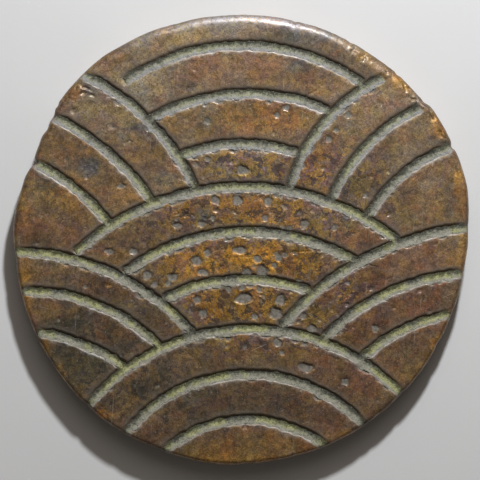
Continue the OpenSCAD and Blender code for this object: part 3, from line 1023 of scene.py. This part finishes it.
def pale_table():
    """Pale grey, faintly uneven and scratched board that the token lies on"""
    n = Nodes("pale_table")
    colour = n.mix(n.noise(6, 3, 0.5), (0.7, 0.7, 0.7), (0.74, 0.74, 0.735))
    scratch = n.between(n.noise(0.12, 2, 0.5, 0.05, (90, 1, 1), -58), 0.7, 0.76)
    scratch = n.times(scratch, n.between(n.noise(8, 2, 0.5), 0.55, 0.66))
    colour = n.mix(scratch, colour, (0.82, 0.82, 0.81))
    specks = n.between(n.noise(0.35, 1, 0.5), 0.78, 0.82, 0, 0.5)
    colour = n.mix(specks, colour, (0.86, 0.86, 0.85))
    n.shade("Base Color", colour)
    n.shade("Roughness", 0.8)
    n.shade("Normal", n.bump(n.noise(0.5, 3, 0.5), 0.004))
    return n.material


# ---- The pieces


def make_disc():
    """The disc with its patina and marks stored on its points"""
    x, y, z, faces = disc_mesh()
    points = to_frame(x, y, carve(x, y, z))
    disc = thinned(new_object("worn_disc", points, faces), DISC_TRIANGLES)
    x, y, z = points_of(disc)
    first, second = marks(x, y, z)
    paint(disc, "patina", patina_colour(x, y, z))
    paint(disc, "marks", first)
    # These masks hold dark staining with painted shade, the groove walls, a painted
    # highlight on the rim, and the edge
    paint(disc, "stains_and_painted_light", second)
    disc.data.materials.append(copper())
    return disc


def deposit_drop(x, y, across):
    """How far below the face the deposit lies: least along a groove's inner wall"""
    drop = 0.035 + 0.125 * smooth((across + 1) / 1.7)
    drop = drop + 0.03 * noise(x, y, 1.5, 81) + 0.045 * noise(x, y, 0.45, 82)
    return np.maximum(drop + 0.035 * rough(x, y, 0.24, 83), 0.012)


# How far apart the deposit's points lie
DEPOSIT_STEP = 0.07
# How far the deposit's edges run on inside the metal of the groove's walls
TUCK = 0.07


def deposit_cells(held):
    """The grid's cells whose four corners are held, and the cells beside any two that
    would otherwise touch by a corner only"""
    cells = held[:-1, :-1] & held[1:, :-1] & held[:-1, 1:] & held[1:, 1:]
    for _ in range(3):
        first = cells[:-1, :-1] & cells[1:, 1:] & ~cells[1:, :-1] & ~cells[:-1, 1:]
        second = cells[1:, :-1] & cells[:-1, 1:] & ~cells[:-1, :-1] & ~cells[1:, 1:]
        cells[:-1, 1:] |= first
        cells[:-1, :-1] |= second
    return cells


def closed_sheet(top, count):
    """The faces of a closed body, from those of its top: the underside, whose points
    follow the top's in the list, and the walls round its border"""
    under = top[:, ::-1] + count
    edges = np.vstack([top[:, [k, (k + 1) % 4]] for k in range(4)])
    keys = set(map(tuple, edges.tolist()))
    border = np.array([e for e in edges.tolist() if (e[1], e[0]) not in keys])
    walls = np.column_stack([
        border[:, 1], border[:, 0], border[:, 0] + count, border[:, 1] + count
    ])
    return np.vstack([top, under, walls])


def make_deposit():
    """The dirt in the grooves: a grid over the grooves, closed below inside the disc"""
    line = np.arange(-15.6, 15.6, DEPOSIT_STEP)
    x, y = [g.ravel() for g in np.meshgrid(line, line)]
    depth, nearest, blended, strength, _ = groove_field(x, y)
    across = np.where(depth > 0.01, blended, np.clip(nearest, -1, 1.3))
    inset = inset_of(x, y)
    drop = deposit_drop(x, y, across) * np.clip(strength, 0.3, 1)
    held = (depth > drop - TUCK) & (np.abs(nearest) < 1.45)
    held = held & (inset > 0.08) & (strength > 0.15)
    count = len(line)
    rows, cols = np.nonzero(deposit_cells(held.reshape(count, count)))
    corner = rows * count + cols
    quads = np.column_stack([corner, corner + 1, corner + count + 1, corner + count])
    used = np.unique(quads)
    new_index = np.full(count * count, -1)
    new_index[used] = np.arange(len(used))
    base = face_height(x, y)[used]
    z_top = base - drop[used]
    z_under = np.minimum(base - DEPTH - 0.04, z_top - 0.05)
    points = to_frame(
        np.tile(x[used], 2), np.tile(y[used], 2), np.concatenate([z_top, z_under])
    )
    faces = closed_sheet(new_index[quads], len(used))
    deposit = new_object("packed_deposit", points, faces)
    place = np.tile((across[used] + 1) / 2, 2)
    upper_fans = np.tile(smooth((y[used] + 1) / 9), 2)
    paint(deposit, "place", np.column_stack([place, upper_fans, place]))
    deposit.data.materials.append(deposit_dirt())
    return deposit


disc = make_disc()
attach(disc, "root")
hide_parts("token_disc")

deposit = make_deposit()
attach(deposit, "root")
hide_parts("groove_deposit")

# ---- The studio


# Half the table's width, in metres
TABLE_HALF = 0.6


def make_floor():
    corners = [(-1, -1, 0), (1, -1, 0), (1, 1, 0), (-1, 1, 0)]
    points = TABLE_HALF * np.array(corners)
    points[:, 2] = disc_low.z
    floor = new_object("table", points, np.array([[0, 1, 2, 3]]), False)
    floor.data.materials.append(pale_table())


# The key lamp, small and near, and a broad fill: turn and rise in degrees, distance and
# width in metres, power and colour
LAMPS = {
    "key": (13.5, 42, 0.125, 0.011, 0.16, (0.955, 0.975, 1.0)),
    "fill": (4, 52, 0.4, 0.3, 0.19, (1.0, 0.9, 0.8)),
}
WORLD_COLOUR = (1.0, 0.9, 0.8)
WORLD_STRENGTH = 0.07


def make_lights():
    for name, (turn, rise, away, width, power, colour) in LAMPS.items():
        lamp = bpy.data.lights.new(name, "AREA")
        lamp.shape = "DISK"
        lamp.size = width
        lamp.energy = power
        lamp.color = colour
        obj = placed(name, lamp)
        turn, rise = np.radians(turn), np.radians(rise)
        level = away * np.cos(rise)
        obj.location = (level * np.sin(turn), level * np.cos(turn), away * np.sin(rise))
        obj.rotation_euler = obj.location.to_track_quat("Z", "Y").to_euler()
        obj.visible_camera = False
    world = bpy.data.worlds.new("studio")
    world.use_nodes = True
    background = world.node_tree.nodes["Background"]
    background.inputs["Color"].default_value = (*WORLD_COLOUR, 1)
    background.inputs["Strength"].default_value = WORLD_STRENGTH
    bpy.context.scene.world = world


# The camera looks straight down: how many millimetres it takes in, its focal length, and
# where the picture's middle lies
VIEW_WIDTH = 31.72
LENS = 200.0
AIM = (-0.066, -0.066)


def make_camera():
    data = bpy.data.cameras.new("camera")
    data.lens = LENS
    data.clip_start, data.clip_end = 0.01, 5.0
    camera = placed("camera", data)
    away = VIEW_WIDTH * LENS / data.sensor_width
    camera.location = to_frame(AIM[0], AIM[1], THICK + away)[0]
    bpy.context.scene.camera = camera


make_floor()
make_lights()
make_camera()
bpy.context.scene.view_settings.view_transform = "Standard"
